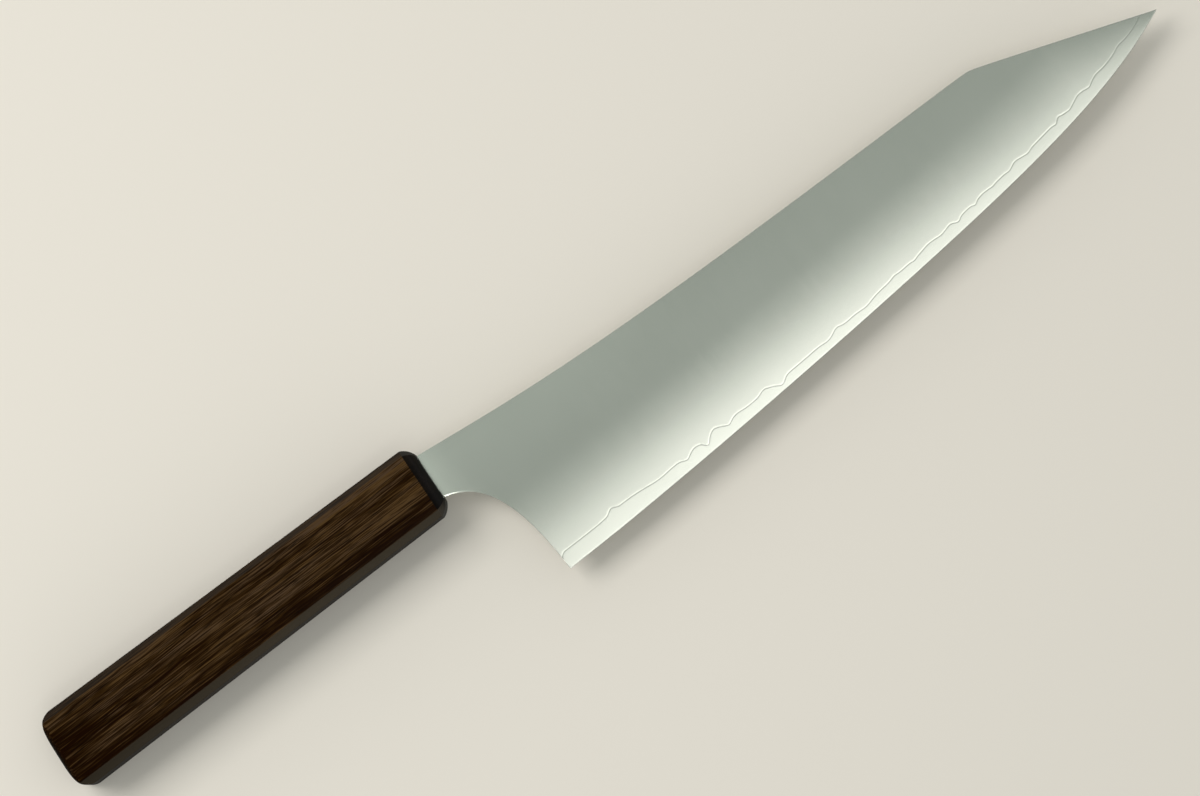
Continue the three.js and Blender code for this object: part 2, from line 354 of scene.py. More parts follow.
softboxes = {name: add_softbox(name, *settings) for name, settings in SOFTBOXES.items()}
softboxes["spine_softbox"].visible_glossy = False
print("lamps, in watts:", {name: softbox.data.energy for name, softbox in softboxes.items()})

# %% [markdown]
# ## Satin steel
# A polisher finishes the blade with strokes from the spine to the edge, so its light breaks up into
# hair-fine lines that run that way. The lines could be a picture mapped on the blade, but stretched
# noise gives them at their real width on any piece. Both steels need them, so they are one node
# group: it puts out the lines and a much larger cloud, and each steel uses them in its own measure.
# The steel's colour is painted a little brighter on the flat of the rear half, and more at the
# neck, as a painted reflection.
# Along the weld line the core has a fine dark seam.

# %% Shader group with the polisher's lines


def combine(tree, x, y, z):
    node = tree.nodes.new("ShaderNodeCombineXYZ")
    for value, socket in zip((x, y, z), node.inputs):
        join(tree, value, socket)
    return node.outputs[0]


def add_sockets(tree, in_out, names):
    for name in names:
        tree.interface.new_socket(name, in_out=in_out, socket_type="NodeSocketFloat")


def object_noise(tree, sizes, detail, roughness=0.5, shift=None):
    """Noise on Object coordinates whose grains have these sizes in metres along X, Y and Z."""
    coordinates = tree.nodes.new("ShaderNodeTexCoord").outputs["Object"]
    if shift is not None:
        add = tree.nodes.new("ShaderNodeVectorMath")
        join(tree, coordinates, add.inputs[0])
        join(tree, shift, add.inputs[1])
        coordinates = add.outputs[0]
    divide = tree.nodes.new("ShaderNodeVectorMath")
    divide.operation = "DIVIDE"
    join(tree, coordinates, divide.inputs[0])
    join(tree, sizes, divide.inputs[1])
    noise = tree.nodes.new("ShaderNodeTexNoise")
    join(tree, divide.outputs[0], noise.inputs["Vector"])
    set_inputs(noise, {"Scale": 1, "Detail": detail, "Roughness": roughness})
    return noise.outputs["Fac"]


satin = bpy.data.node_groups.new("satin_strokes", "ShaderNodeTree")
add_sockets(satin, "INPUT", ["Line Width", "Line Length", "Cloud Size"])
add_sockets(satin, "OUTPUT", ["Lines", "Cloud"])
satin_in = satin.nodes.new("NodeGroupInput").outputs
satin_out = satin.nodes.new("NodeGroupOutput").inputs
line_sizes = combine(satin, satin_in["Line Width"], satin_in["Line Length"], satin_in["Line Width"])
cloud_sizes = combine(satin, *[satin_in["Cloud Size"]] * 3)
join(satin, object_noise(satin, line_sizes, detail=3.0, roughness=0.6), satin_out["Lines"])
join(satin, object_noise(satin, cloud_sizes, detail=2.0), satin_out["Cloud"])
print("satin group outputs:", [socket.name for socket in satin_out if socket.name])

# %% The dark seam and the painted reflection
SEAM_START = 0.1 * MM
SEAM_WIDTH = 0.38 * MM
SEAM_SHADE = 0.86
# Painted reflection: how much brighter the steel's colour is painted on the flat of the rear half and
# at the neck, and where it fades.
REAR_REFLECTION_GAIN = 0.15
REAR_REFLECTION_FADE = (FRONT.x + 50 * MM, FRONT.x + 100 * MM)
FLAT_REFLECTION_FADE = (FRONT.y - 16 * MM, FRONT.y + 2 * MM)
NECK_REFLECTION_GAIN = 0.3
NECK_REFLECTION_FADE = (FRONT.x, FRONT.x + 13 * MM)


def calc(tree, operation, *values, clamp=False):
    node = tree.nodes.new("ShaderNodeMath")
    node.operation = operation
    node.use_clamp = clamp
    for value, socket in zip(values, node.inputs):
        join(tree, value, socket)
    return node.outputs[0]


def remap(tree, value, from_low, from_high, to_low, to_high):
    node = tree.nodes.new("ShaderNodeMapRange")
    for setting, socket in zip((value, from_low, from_high, to_low, to_high), node.inputs):
        join(tree, setting, socket)
    return node.outputs[0]


def object_place(tree):
    return split(tree, tree.nodes.new("ShaderNodeTexCoord").outputs["Object"])


def seam_shade(tree):
    """Darkness beside the weld line, from the distance that is stored on the mesh."""
    gap = tree.nodes.new("ShaderNodeAttribute")
    gap.attribute_name = "weld_gap"
    return remap(tree, gap.outputs["Fac"], SEAM_START, SEAM_WIDTH, SEAM_SHADE, 1)


def painted_reflection_gain(tree):
    """How much brighter the steel's colour is painted, as a painted reflection: a little on the flat of
    the rear half, and more at the neck.
    """
    place = object_place(tree)
    rear = remap(tree, place["X"], *REAR_REFLECTION_FADE, REAR_REFLECTION_GAIN, 0)
    on_flat = remap(tree, place["Y"], *FLAT_REFLECTION_FADE, 0, 1)
    neck = calc(tree, "POWER", remap(tree, place["X"], *NECK_REFLECTION_FADE, 1, 0), 2)
    gain = calc(tree, "MULTIPLY_ADD", rear, on_flat, 1)
    return calc(tree, "MULTIPLY", gain, calc(tree, "MULTIPLY_ADD", neck, NECK_REFLECTION_GAIN, 1))


print("seam width:", SEAM_WIDTH, "polish gains:", REAR_REFLECTION_GAIN, NECK_REFLECTION_GAIN)

# %% Two steels with their own strokes
CLOUD_SIZE = 28 * MM
STROKE_STRENGTH = 0.06
NOISE_RANGE = (0.3, 0.7)


def blended(tree, share, first, second, blend="MIX"):
    node = tree.nodes.new("ShaderNodeMix")
    node.data_type = "RGBA"
    node.blend_type = blend
    join(tree, share, node.inputs["Factor"])
    join(tree, first, node.inputs["A"])
    join(tree, second, node.inputs["B"])
    return node.outputs["Result"]


def shaded(tree, colour, shade):
    """A colour darkened by a value or tinted by a colour."""
    return blended(tree, 1, colour, shade, "MULTIPLY")


def add_bump(tree, shader, height, strength, depth):
    bump = tree.nodes.new("ShaderNodeBump")
    set_inputs(bump, {"Strength": strength, "Distance": depth})
    join(tree, height, bump.inputs["Height"])
    join(tree, bump.outputs[0], shader.inputs["Normal"])


def satin_steel(name, dark, light, smooth, rough, stroke_width, stroke_length, stroke_depth, seam):
    material, tree, shader = new_material(name)
    shader.inputs["Metallic"].default_value = 1
    strokes = tree.nodes.new("ShaderNodeGroup")
    strokes.node_tree = satin
    stroke_sizes = {"Line Width": stroke_width, "Line Length": stroke_length, "Cloud Size": CLOUD_SIZE}
    set_inputs(strokes, stroke_sizes)
    lines = strokes.outputs["Lines"]
    half_lines = calc(tree, "MULTIPLY", lines, 0.5)
    mixed = calc(tree, "MULTIPLY_ADD", strokes.outputs["Cloud"], 0.5, half_lines)
    # The tone carries the painted reflection.
    tone = shaded(tree, colour_ramp(tree, mixed, [(0.35, dark), (0.65, light)]), painted_reflection_gain(tree))
    if seam:
        tone = shaded(tree, tone, seam_shade(tree))
    join(tree, tone, shader.inputs["Base Color"])
    join(tree, remap(tree, lines, *NOISE_RANGE, smooth, rough), shader.inputs["Roughness"])
    add_bump(tree, shader, lines, STROKE_STRENGTH, stroke_depth)
    return material


cladding_steel = satin_steel(
    "cladding_steel", dark=(0.600, 0.632, 0.572, 1), light=(0.632, 0.662, 0.602, 1),
    smooth=0.19, rough=0.21,
    stroke_width=0.26 * MM, stroke_length=14 * MM, stroke_depth=0.002 * MM, seam=False)
core_steel = satin_steel(
    "core_steel", dark=(0.605, 0.637, 0.577, 1), light=(0.637, 0.667, 0.607, 1),
    smooth=0.18, rough=0.21,
    stroke_width=0.2 * MM, stroke_length=5 * MM, stroke_depth=0.003 * MM, seam=True)
print("steels:", cladding_steel.name, core_steel.name)

# %% [markdown]
# ## Blanks for the three layers
# A smith starts from flat blanks cut to the outline, and a grinder then gives them their section.
# The same order works here. A blank is a sheet of columns from the lower outline to the spine, with
# rows crowded at both ends where the edges will be rounded. The columns fan out behind the heel, so
# that they leave the finger notch squarely. The tang is part of the same sheet. The shoulder that
# meets the handle leans with the handle's front, which is cut a few degrees off square.

# %% Columns from the lower outline to the spine
COLUMN_STEP = 0.5 * MM
NOTCH_COLUMNS = 72
FAN_REACH = 32 * MM
FRONT_SLANT = 0.054
CROWDED_ROWS = np.array([0, 0.02, 0.06, 0.12, 0.2, 0.3, 0.42, 0.6]) * MM
CLADDING_ROWS = 26
END_SHARE = 0.3
LEAST_SQUARENESS = 0.25
TINY = 1e-9


def fanned_spine(heel_ahead, lower_end, ahead):
    """The spine point of each column: notch columns fan out to FAN_REACH, the others close up again."""
    shoulder_top = SHOULDER_AHEAD + FRONT_SLANT * (NECK_FALL + NECK_RISE)
    notch_spine = np.linspace(shoulder_top, FAN_REACH, NOTCH_COLUMNS)
    closing = (lower_end - ahead) / (lower_end - heel_ahead)
    rest_spine = lower_end - (lower_end - FAN_REACH) * closing
    spine_ahead = np.concatenate([notch_spine, rest_spine[1:]])
    return np.stack([spine_ahead, spine_height(spine_ahead)], axis=1)


def closed_at_tip(lower, upper):
    """Both outlines, the upper one ended on the last point of the lower one."""
    return lower, np.concatenate([upper[:-1], lower[-1:]])


def crowding(lower, upper, outline):
    """Distances of the crowded rows along each column, longer where it leaves the outline aslant."""
    column = upper - lower
    length = np.maximum(np.hypot(*column.T), TINY)
    tangent = np.gradient(outline, axis=0)
    tangent /= np.maximum(np.hypot(*tangent.T), TINY)[:, None]
    squareness = np.abs(column[:, 0] * tangent[:, 1] - column[:, 1] * tangent[:, 0]) / length
    stretch = 1 / np.clip(squareness, LEAST_SQUARENESS, 1)
    room = np.minimum(1, END_SHARE * length / (stretch * CROWDED_ROWS[-1]))
    return CROWDED_ROWS[None, :] * (stretch * room / length)[:, None]


def column_shares(lower, upper, middle_rows):
    near = crowding(lower, upper, lower)
    far = 1 - crowding(lower, upper, upper)[:, ::-1]
    steps = np.linspace(0, 1, middle_rows + 2)[None, 1:-1]
    middle = near[:, -1:] + (far[:, :1] - near[:, -1:]) * steps
    return np.concatenate([near, middle, far], axis=1)


def weld_lower():
    """Lower outline of a cladding: down the notch to the weld line, then along that line."""
    shares = np.linspace(0, 1, FINE_STEPS + 1)
    heights = notch_curve(shares)[:, 1]
    start_share = np.interp(-weld_height(HEEL_AHEAD), -heights, shares)
    notch = notch_curve(np.linspace(0, start_share, NOTCH_COLUMNS))
    count = int((WELD_END - notch[-1, 0]) / COLUMN_STEP)
    ahead = np.linspace(notch[-1, 0], WELD_END, count)
    weld = np.stack([ahead, weld_height(ahead)], axis=1)
    weld[0] = notch[-1]
    return notch, weld


cladding_notch, cladding_weld = weld_lower()
cladding_spine = fanned_spine(cladding_weld[0, 0], WELD_END, cladding_weld[:, 0])
cladding_lower, cladding_upper = closed_at_tip(
    np.concatenate([cladding_notch, cladding_weld[1:]]), cladding_spine)
cladding_shares = column_shares(cladding_lower, cladding_upper, CLADDING_ROWS)
print("cladding columns and rows:", cladding_shares.shape)

# %% A closed blank from the columns, with its tang
TANG_HEIGHT = 11 * MM
TANG_END_HEIGHT = 6.5 * MM
BLANK_HALF = 1 * MM
WELD_DOUBLES = 0.0001 * MM


def blank_mesh(name, lower, upper, shares):
    """A flat closed sheet, one face on each side, placed from the handle's front face."""
    columns, rows = shares.shape
    grid = lower[:, None] + (upper - lower)[:, None] * shares[:, :, None]
    in_tang = np.flatnonzero(np.abs(grid[0, :, 1]) <= TANG_HEIGHT / 2)
    first, last = in_tang[0], in_tang[-1]
    tang_end = grid[0, first:last + 1].copy()
    tang_end[:, 0] = -TANG_LENGTH
    tang_end[:, 1] *= TANG_END_HEIGHT / TANG_HEIGHT
    flat = np.concatenate([grid.reshape(-1, 2), tang_end])
    count = len(flat)
    points = [(x, y, BLANK_HALF) for x, y in flat] + [(x, y, -BLANK_HALF) for x, y in flat]

    def at(column, row):
        if column < 0:
            return columns * rows + row - first
        return column * rows + row

    faces = []

    def add_wall(start, end):
        faces.append((at(*end), at(*start), at(*start) + count, at(*end) + count))

    cells = [(column, row) for column in range(columns - 1) for row in range(rows - 1)]
    cells += [(-1, row) for row in range(first, last)]
    for column, row in cells:
        ring = (at(column, row), at(column + 1, row), at(column + 1, row + 1), at(column, row + 1))
        faces.append(ring)
        faces.append(tuple(corner + count for corner in reversed(ring)))
    for column in range(columns - 1):
        add_wall((column, 0), (column + 1, 0))
        add_wall((column + 1, rows - 1), (column, rows - 1))
    add_wall((-1, first), (0, first))
    add_wall((0, last), (-1, last))
    for row in range(rows - 1):
        behind = -1 if first <= row < last else 0
        add_wall((behind, row + 1), (behind, row))

    mesh = bpy.data.meshes.new(name)
    mesh.from_pydata(points, [], faces)
    work = bmesh.new()
    work.from_mesh(mesh)
    bmesh.ops.remove_doubles(work, verts=work.verts, dist=WELD_DOUBLES)
    work.to_mesh(mesh)
    work.free()
    return mesh


def open_edges(mesh):
    work = bmesh.new()
    work.from_mesh(mesh)
    found = sum(1 for edge in work.edges if not edge.is_manifold)
    work.free()
    return found


cladding_blank = blank_mesh("cladding_blank", cladding_lower, cladding_upper, cladding_shares)
print("cladding blank:", len(cladding_blank.polygons), "faces, open edges:", open_edges(cladding_blank))

# %% The core's blank, with rows crowded on the weld line
STRIP_ROWS = np.array([
    0, 0.04, 0.09, 0.16, 0.25, 0.36, 0.48, 0.6, 0.7, 0.78, 0.84, 0.88, 0.91, 0.94, 0.97, 1])
HIDDEN_ROWS = np.array([0.1, 0.3, 0.6, 0.9, 1])
HALVINGS = 40
LEAST_SHARE = 0.02


def core_columns():
    notch = notch_curve(np.linspace(0, 1, NOTCH_COLUMNS))
    count = int(EDGE_LENGTH / COLUMN_STEP)
    ahead = np.linspace(HEEL_AHEAD, TIP_AHEAD, count)
    edge = np.stack([ahead, edge_height(ahead)], axis=1)
    return closed_at_tip(np.concatenate([notch, edge[1:]]), fanned_spine(HEEL_AHEAD, TIP_AHEAD, ahead))


def weld_share(lower, upper):
    """How far up each column the weld line crosses it, found by halving."""
    low, high = np.zeros(len(lower)), np.ones(len(lower))
    for _ in range(HALVINGS):
        middle = (low + high) / 2
        place = lower + (upper - lower) * middle[:, None]
        covered = edge_distance(*place.T) > core_shown(place[:, 0])
        high = np.where(covered, middle, high)
        low = np.where(covered, low, middle)
    return np.clip(high, LEAST_SHARE, 1 - LEAST_SHARE)


core_lower, core_upper = core_columns()
core_weld = weld_share(core_lower, core_upper)[:, None]
core_hidden = core_weld + (1 - core_weld) * HIDDEN_ROWS
core_shares = np.concatenate([core_weld * STRIP_ROWS, core_hidden], axis=1)
core_blank = blank_mesh("core_blank", core_lower, core_upper, core_shares)
print("core blank:", len(core_blank.polygons), "faces, open edges:", open_edges(core_blank))

# %% Distances that the grinder works from
NECK_THICKNESS = 2.3 * MM
TIP_THICKNESS = 1.5 * MM
EDGE_THICKNESS = 0.1 * MM
BEVEL_AT_HEEL = 27 * MM
BEVEL_AT_TIP = 20 * MM
BEVEL_POWER = 1.7
LAYER_STEP = 0.06 * MM
LEAST_WIDTH = 0.3 * MM


def line_distance(points, line):
    """Distance from each point to a line of short straight pieces."""
    nearest = np.full(len(points), np.inf)
    for start, end in zip(line[:-1], line[1:]):
        way = end - start
        share = np.clip((points - start) @ way / max(way @ way, TINY**2), 0, 1)
        nearest = np.minimum(nearest, np.hypot(*(points - start - share[:, None] * way).T))
    return nearest


def blade_width(x):
    """Width of the blade from its edge to its spine, never quite nothing."""
    x = np.clip(x, HEEL_AHEAD, TIP_AHEAD)
    return np.maximum(edge_distance(x, spine_height(x)), LEAST_WIDTH)


def covered_half(x):
    """Half the core's thickness under the claddings, which is its thickness at the weld line."""
    x = np.clip(x, HEEL_AHEAD, TIP_AHEAD)
    bevel = lerp(BEVEL_AT_HEEL, BEVEL_AT_TIP, (x - HEEL_AHEAD) / EDGE_LENGTH)
    room = np.minimum(blade_width(x) / bevel, 1)
    flat = (lerp(NECK_THICKNESS, TIP_THICKNESS, x / TIP_AHEAD) / 2 - LAYER_STEP) * room
    below = np.maximum(1 - core_shown(x) / (bevel * room), 0)
    return lerp(np.maximum(flat, EDGE_THICKNESS / 2), EDGE_THICKNESS / 2, below**BEVEL_POWER)


def mark_blank(mesh, spine, notch):
    """Stores on each point what the grinding tree reads, then moves the blank to its place."""
    place = np.zeros(len(mesh.vertices) * 3)
    mesh.vertices.foreach_get("co", place)
    place = place.reshape(-1, 3)
    x, y = place[:, 0], place[:, 1]
    marks = {
        "ahead": x,
        "width": blade_width(x),
        "edge_gap": np.maximum(edge_distance(x, y), 0),
        "spine_gap": line_distance(place[:, :2], spine),
        "notch_gap": line_distance(place[:, :2], notch),
        "weld_gap": line_distance(place[:, :2], cladding_weld),
        "core_half": covered_half(x),
        "face": np.sign(place[:, 2]),
    }
    for name, values in marks.items():
        attribute = mesh.attributes.new(name, "FLOAT", "POINT")
        attribute.data.foreach_set("value", values.astype(np.float32))
    mesh.transform(Matrix.Translation(FRONT))


mark_blank(cladding_blank, cladding_upper, cladding_notch)
mark_blank(core_blank, core_upper, core_lower[:NOTCH_COLUMNS])
print("attributes:", [attribute.name for attribute in core_blank.attributes])

# %% [markdown]
# ## Grinding
# The section of the blade follows a rule: flat and slowly thinner towards the tip, then falling away
# from the bevel line down to the edge. Near the tip the blade is narrower than a whole bevel, so
# there the bevel starts at the spine and everything is thinner in proportion. Geometry Nodes can
# apply the rule exactly: a tree reads each point's distance from the edge and sets how far the face
# stands out. One inner group holds the rule, and the core and the claddings share it.

# %% The shared section rule as a node group
SECTION_SIZES = {
    "Neck Thickness": NECK_THICKNESS,
    "Tip Thickness": TIP_THICKNESS,
    "Tang End Thickness": 1.8 * MM,
    "Edge Thickness": EDGE_THICKNESS,
    "Bevel At Heel": BEVEL_AT_HEEL,
    "Bevel At Tip": BEVEL_AT_TIP,
    "Bevel Power": BEVEL_POWER,
    "Layer Step": LAYER_STEP,
}


def read_attribute(tree, name):
    node = tree.nodes.new("GeometryNodeInputNamedAttribute")
    node.inputs["Name"].default_value = name
    return node.outputs["Attribute"]


def nearness(tree, gap, reach):
    """1 on a line, falling evenly to 0 at this distance from it."""
    return calc(tree, "SUBTRACT", 1, calc(tree, "DIVIDE", gap, reach), clamp=True)


section = bpy.data.node_groups.new("blade_section", "GeometryNodeTree")
add_sockets(section, "INPUT", SECTION_SIZES)
add_sockets(section, "OUTPUT", ["Half Thickness"])
section_in = section.nodes.new("NodeGroupInput").outputs
section_out = section.nodes.new("NodeGroupOutput").inputs
ahead = read_attribute(section, "ahead")
edge_gap = read_attribute(section, "edge_gap")
neck, tip = section_in["Neck Thickness"], section_in["Tip Thickness"]
blade_flat = remap(section, ahead, 0, TIP_AHEAD, neck, tip)
tang_flat = remap(section, ahead, -TANG_LENGTH, 0, section_in["Tang End Thickness"], neck)
half_flat = calc(section, "MULTIPLY", calc(section, "MINIMUM", blade_flat, tang_flat), 0.5)
whole_half = calc(section, "SUBTRACT", half_flat, section_in["Layer Step"])
heel_bevel, tip_bevel = section_in["Bevel At Heel"], section_in["Bevel At Tip"]
whole_bevel = remap(section, ahead, HEEL_AHEAD, TIP_AHEAD, heel_bevel, tip_bevel)
room = calc(section, "DIVIDE", read_attribute(section, "width"), whole_bevel, clamp=True)
bevel = calc(section, "MULTIPLY", whole_bevel, room)
below = calc(section, "POWER", nearness(section, edge_gap, bevel), section_in["Bevel Power"])
edge_half = calc(section, "MULTIPLY", section_in["Edge Thickness"], 0.5)
flat_half = calc(section, "MAXIMUM", calc(section, "MULTIPLY", whole_half, room), edge_half)
removed = calc(section, "MULTIPLY", calc(section, "SUBTRACT", flat_half, edge_half), below)
join(section, calc(section, "SUBTRACT", flat_half, removed), section_out["Half Thickness"])
print("section inputs:", list(SECTION_SIZES))

# %% How every grinding tree starts and ends


def start_tree(name, sizes):
    """A tree with geometry, material and size inputs, and the shared section rule already placed."""
    tree = bpy.data.node_groups.new(name, "GeometryNodeTree")
    tree.interface.new_socket("Geometry", in_out="OUTPUT", socket_type="NodeSocketGeometry")
    tree.interface.new_socket("Geometry", in_out="INPUT", socket_type="NodeSocketGeometry")
    tree.interface.new_socket("Material", in_out="INPUT", socket_type="NodeSocketMaterial")
    add_sockets(tree, "INPUT", SECTION_SIZES | sizes)
    inputs = tree.nodes.new("NodeGroupInput").outputs
    rule = tree.nodes.new("GeometryNodeGroup")
    rule.node_tree = section
    for name in SECTION_SIZES:
        join(tree, inputs[name], rule.inputs[name])
    return tree, inputs, rule.outputs["Half Thickness"]


def end_tree(tree, inputs, height, turn_over):
    """Sets every point's height above the blade's middle plane, then the finish."""
    here = split(tree, tree.nodes.new("GeometryNodeInputPosition").outputs[0])
    moved = combine(tree, here["X"], here["Y"], calc(tree, "ADD", height, FRONT.z))
    place = tree.nodes.new("GeometryNodeSetPosition")
    join(tree, inputs["Geometry"], place.inputs["Geometry"])
    join(tree, moved, place.inputs["Position"])
    flip = tree.nodes.new("GeometryNodeFlipFaces")
    join(tree, place.outputs[0], flip.inputs["Mesh"])
    join(tree, turn_over, flip.inputs["Selection"])
    realize = tree.nodes.new("GeometryNodeRealizeInstances")
    join(tree, flip.outputs[0], realize.inputs[0])
    finish = tree.nodes.new("GeometryNodeSetMaterial")
    join(tree, realize.outputs[0], finish.inputs["Geometry"])
    join(tree, inputs["Material"], finish.inputs["Material"])
    join(tree, finish.outputs[0], tree.nodes.new("NodeGroupOutput").inputs["Geometry"])


print("every tree shares:", section.name)

# %% The claddings' tree
RIM_FADE = 4 * MM
LIP_FADE = 205 * MM
ROUND_SHARE = 0.9
LEAST_ROOM = 0.02 * MM
CLADDING_SIZES = {
    "Spine Radius": 0.04 * MM,
    "Notch Radius": 0.06 * MM,
    "Rim Width": 0.42 * MM,
    "Rim Depth": 0.09 * MM,
    "Lip Width": 0.4 * MM,
    "Lip Depth": 0.02 * MM,
    "Weld Gap": 0.004 * MM,
    "Side": 1.0,
}


def choose(tree, chooser, below_zero, above_zero):
    share = calc(tree, "GREATER_THAN", chooser, 0)
    return calc(tree, "MULTIPLY_ADD", calc(tree, "SUBTRACT", above_zero, below_zero), share, below_zero)


def rounded_drop(tree, gap, radius, room):
    """How far a face drops at this distance from a rounded rim, if the layer has the room."""
    radius = calc(tree, "MINIMUM", radius, room)
    inward = nearness(tree, gap, radius)
    arc = calc(tree, "SQRT", calc(tree, "SUBTRACT", 1, calc(tree, "MULTIPLY", inward, inward)))
    return calc(tree, "MULTIPLY", radius, calc(tree, "SUBTRACT", 1, arc))


def grind_cladding_tree():
    tree, sizes, half = start_tree("grind_cladding", CLADDING_SIZES)
    core = read_attribute(tree, "core_half")
    clad = calc(tree, "SUBTRACT", half, core)
    room = calc(tree, "MAXIMUM", calc(tree, "MULTIPLY", clad, ROUND_SHARE), LEAST_ROOM)
    spine_drop = rounded_drop(tree, read_attribute(tree, "spine_gap"), sizes["Spine Radius"], room)
    notch_gap = read_attribute(tree, "notch_gap")
    notch_drop = rounded_drop(tree, notch_gap, sizes["Notch Radius"], room)
    ahead = read_attribute(tree, "ahead")
    rim_depth = remap(tree, ahead, RIM_FADE, NOTCH_RUN, sizes["Rim Depth"], 0)
    rim = nearness(tree, notch_gap, sizes["Rim Width"])
    notch_drop = calc(tree, "MULTIPLY_ADD", rim, rim_depth, notch_drop)
    rim_drop = calc(tree, "MAXIMUM", spine_drop, notch_drop)
    lip = nearness(tree, read_attribute(tree, "weld_gap"), sizes["Lip Width"])
    lip_depth = remap(tree, ahead, LIP_FADE, TIP_AHEAD, sizes["Lip Depth"], 0)
    lip_drop = calc(tree, "MULTIPLY", lip_depth, calc(tree, "POWER", lip, 2))
    raised = calc(tree, "ADD", half, sizes["Layer Step"])
    outer = calc(tree, "SUBTRACT", calc(tree, "SUBTRACT", raised, rim_drop), lip_drop)
    inner = calc(tree, "ADD", calc(tree, "MINIMUM", half, core), sizes["Weld Gap"])
    out = choose(tree, read_attribute(tree, "face"), inner, outer)
    height = calc(tree, "MULTIPLY", out, sizes["Side"])
    end_tree(tree, sizes, height, calc(tree, "LESS_THAN", sizes["Side"], 0))
    return tree


cladding_tree = grind_cladding_tree()
print("tree:", cladding_tree.name, len(cladding_tree.nodes), "nodes")

# %% The core's tree
CORE_SIZES = {
    "Groove Width": 0.45 * MM,
    "Groove Depth": 0.008 * MM,
    "Last Bevel Width": 0.15 * MM,
    "Keen Thickness": 0.02 * MM,
}


def grind_core_tree():
    tree, sizes, half = start_tree("grind_core", CORE_SIZES)
    groove = nearness(tree, read_attribute(tree, "weld_gap"), sizes["Groove Width"])
    hollow = calc(tree, "MULTIPLY", sizes["Groove Depth"], calc(tree, "POWER", groove, 2))
    keen = calc(tree, "MULTIPLY", sizes["Keen Thickness"], 0.5)
    last = calc(tree, "DIVIDE", read_attribute(tree, "edge_gap"), sizes["Last Bevel Width"], clamp=True)
    sharpened = calc(tree, "MULTIPLY_ADD", calc(tree, "SUBTRACT", half, keen), last, keen)
    bare = calc(tree, "SUBTRACT", sharpened, hollow)
    out = calc(tree, "MINIMUM", bare, read_attribute(tree, "core_half"))
    height = calc(tree, "MULTIPLY", out, read_attribute(tree, "face"))
    end_tree(tree, sizes, height, False)
    return tree


core_tree = grind_core_tree()
print("tree:", core_tree.name, len(core_tree.nodes), "nodes")

# %% Grind the three layers and keep plain meshes
SMOOTH_LIMIT = math.radians(28)


def grind(name, blank, tree, material, sizes):
    piece = add_object(name, blank.copy())
    modifier = piece.modifiers.new("grind", "NODES")
    modifier.node_group = tree
    settings = SECTION_SIZES | sizes | {"Material": material}
    for socket in tree.interface.items_tree:
        if socket.in_out == "INPUT" and socket.name in settings:
            modifier[socket.identifier] = settings[socket.name]
    ground = piece.evaluated_get(bpy.context.evaluated_depsgraph_get())
    plain = bpy.data.meshes.new_from_object(ground)
    piece.modifiers.remove(modifier)
    piece.data = plain
    plain.name = name
    for attribute in ("ahead", "width", "edge_gap", "spine_gap", "notch_gap", "core_half", "face"):
        plain.attributes.remove(plain.attributes[attribute])
    plain.shade_smooth()
    plain.set_sharp_from_angle(angle=SMOOTH_LIMIT)
    return piece


right_layer = grind("right_layer", cladding_blank, cladding_tree, cladding_steel, CLADDING_SIZES)
left_sizes = CLADDING_SIZES | {"Side": -1.0}
left_layer = grind("left_layer", cladding_blank, cladding_tree, cladding_steel, left_sizes)
core_layer = grind("core_layer", core_blank, core_tree, core_steel, CORE_SIZES)
for layer in (right_layer, left_layer, core_layer):
    print(layer.name, len(layer.data.polygons), "faces", tuple(layer.dimensions))

# %% [markdown]
# ## Dark lacquered wood
# The handle is cut from one straight-grained block, stained almost black-brown and lacquered. A
# picture of wood would show the same streak on two faces that meet. Solid wood does not: each
# streak runs on round the corner. Noise stretched along X fills the whole block, so the faces,
# facets and ends cut through the same fibres. The wood is darker towards the edge side and the
# butt, and the stain took most on end grain, so the rounded front is nearly black. The facets and
# narrow sides are darker still, as painted shade. A right hand presses on two of the facets: there
# the lacquer shines more, though less towards the butt, and their colour is a painted sheen, a grey
# that hides the streaks and is fainter towards the butt.

# %% Wood that runs through the whole block
HANDLE_LENGTH = 137.6 * MM
GRAIN_SWAY = 2 * MM
GRAINS = {
    "sway": (60 * MM, 10 * MM, 1.0, (0.41, 0.19, 0.83)),
    "figure": (150 * MM, 6.5 * MM, 2.0, (0.31, 0.12, 0.05)),
    "streaks": (38 * MM, 0.33 * MM, 2.0, (0.07, 0.41, 0.23)),
    "fibres": (9 * MM, 0.26 * MM, 1.0, (0.53, 0.02, 0.37)),
    "warmth": (40 * MM, 1.4 * MM, 2.0, (0.23, 0.67, 0.11)),
    "pores": (5 * MM, 0.3 * MM, 1.0, (0.17, 0.29, 0.61)),
}


def grain(tree, name, sway=None):
    """Noise drawn out along the handle: its length, width, detail and shift come from the table.
    With a sway, its lines wander from side to side and don't look ruled."""
    length, width, detail, (x, y, z) = GRAINS[name]
    if sway is not None:
        y = calc(tree, "MULTIPLY_ADD", sway, GRAIN_SWAY, y)
    return object_noise(tree, (length, width, width), detail, shift=combine(tree, x, y, z))


print("grains:", {name: sizes[:2] for name, sizes in GRAINS.items()})

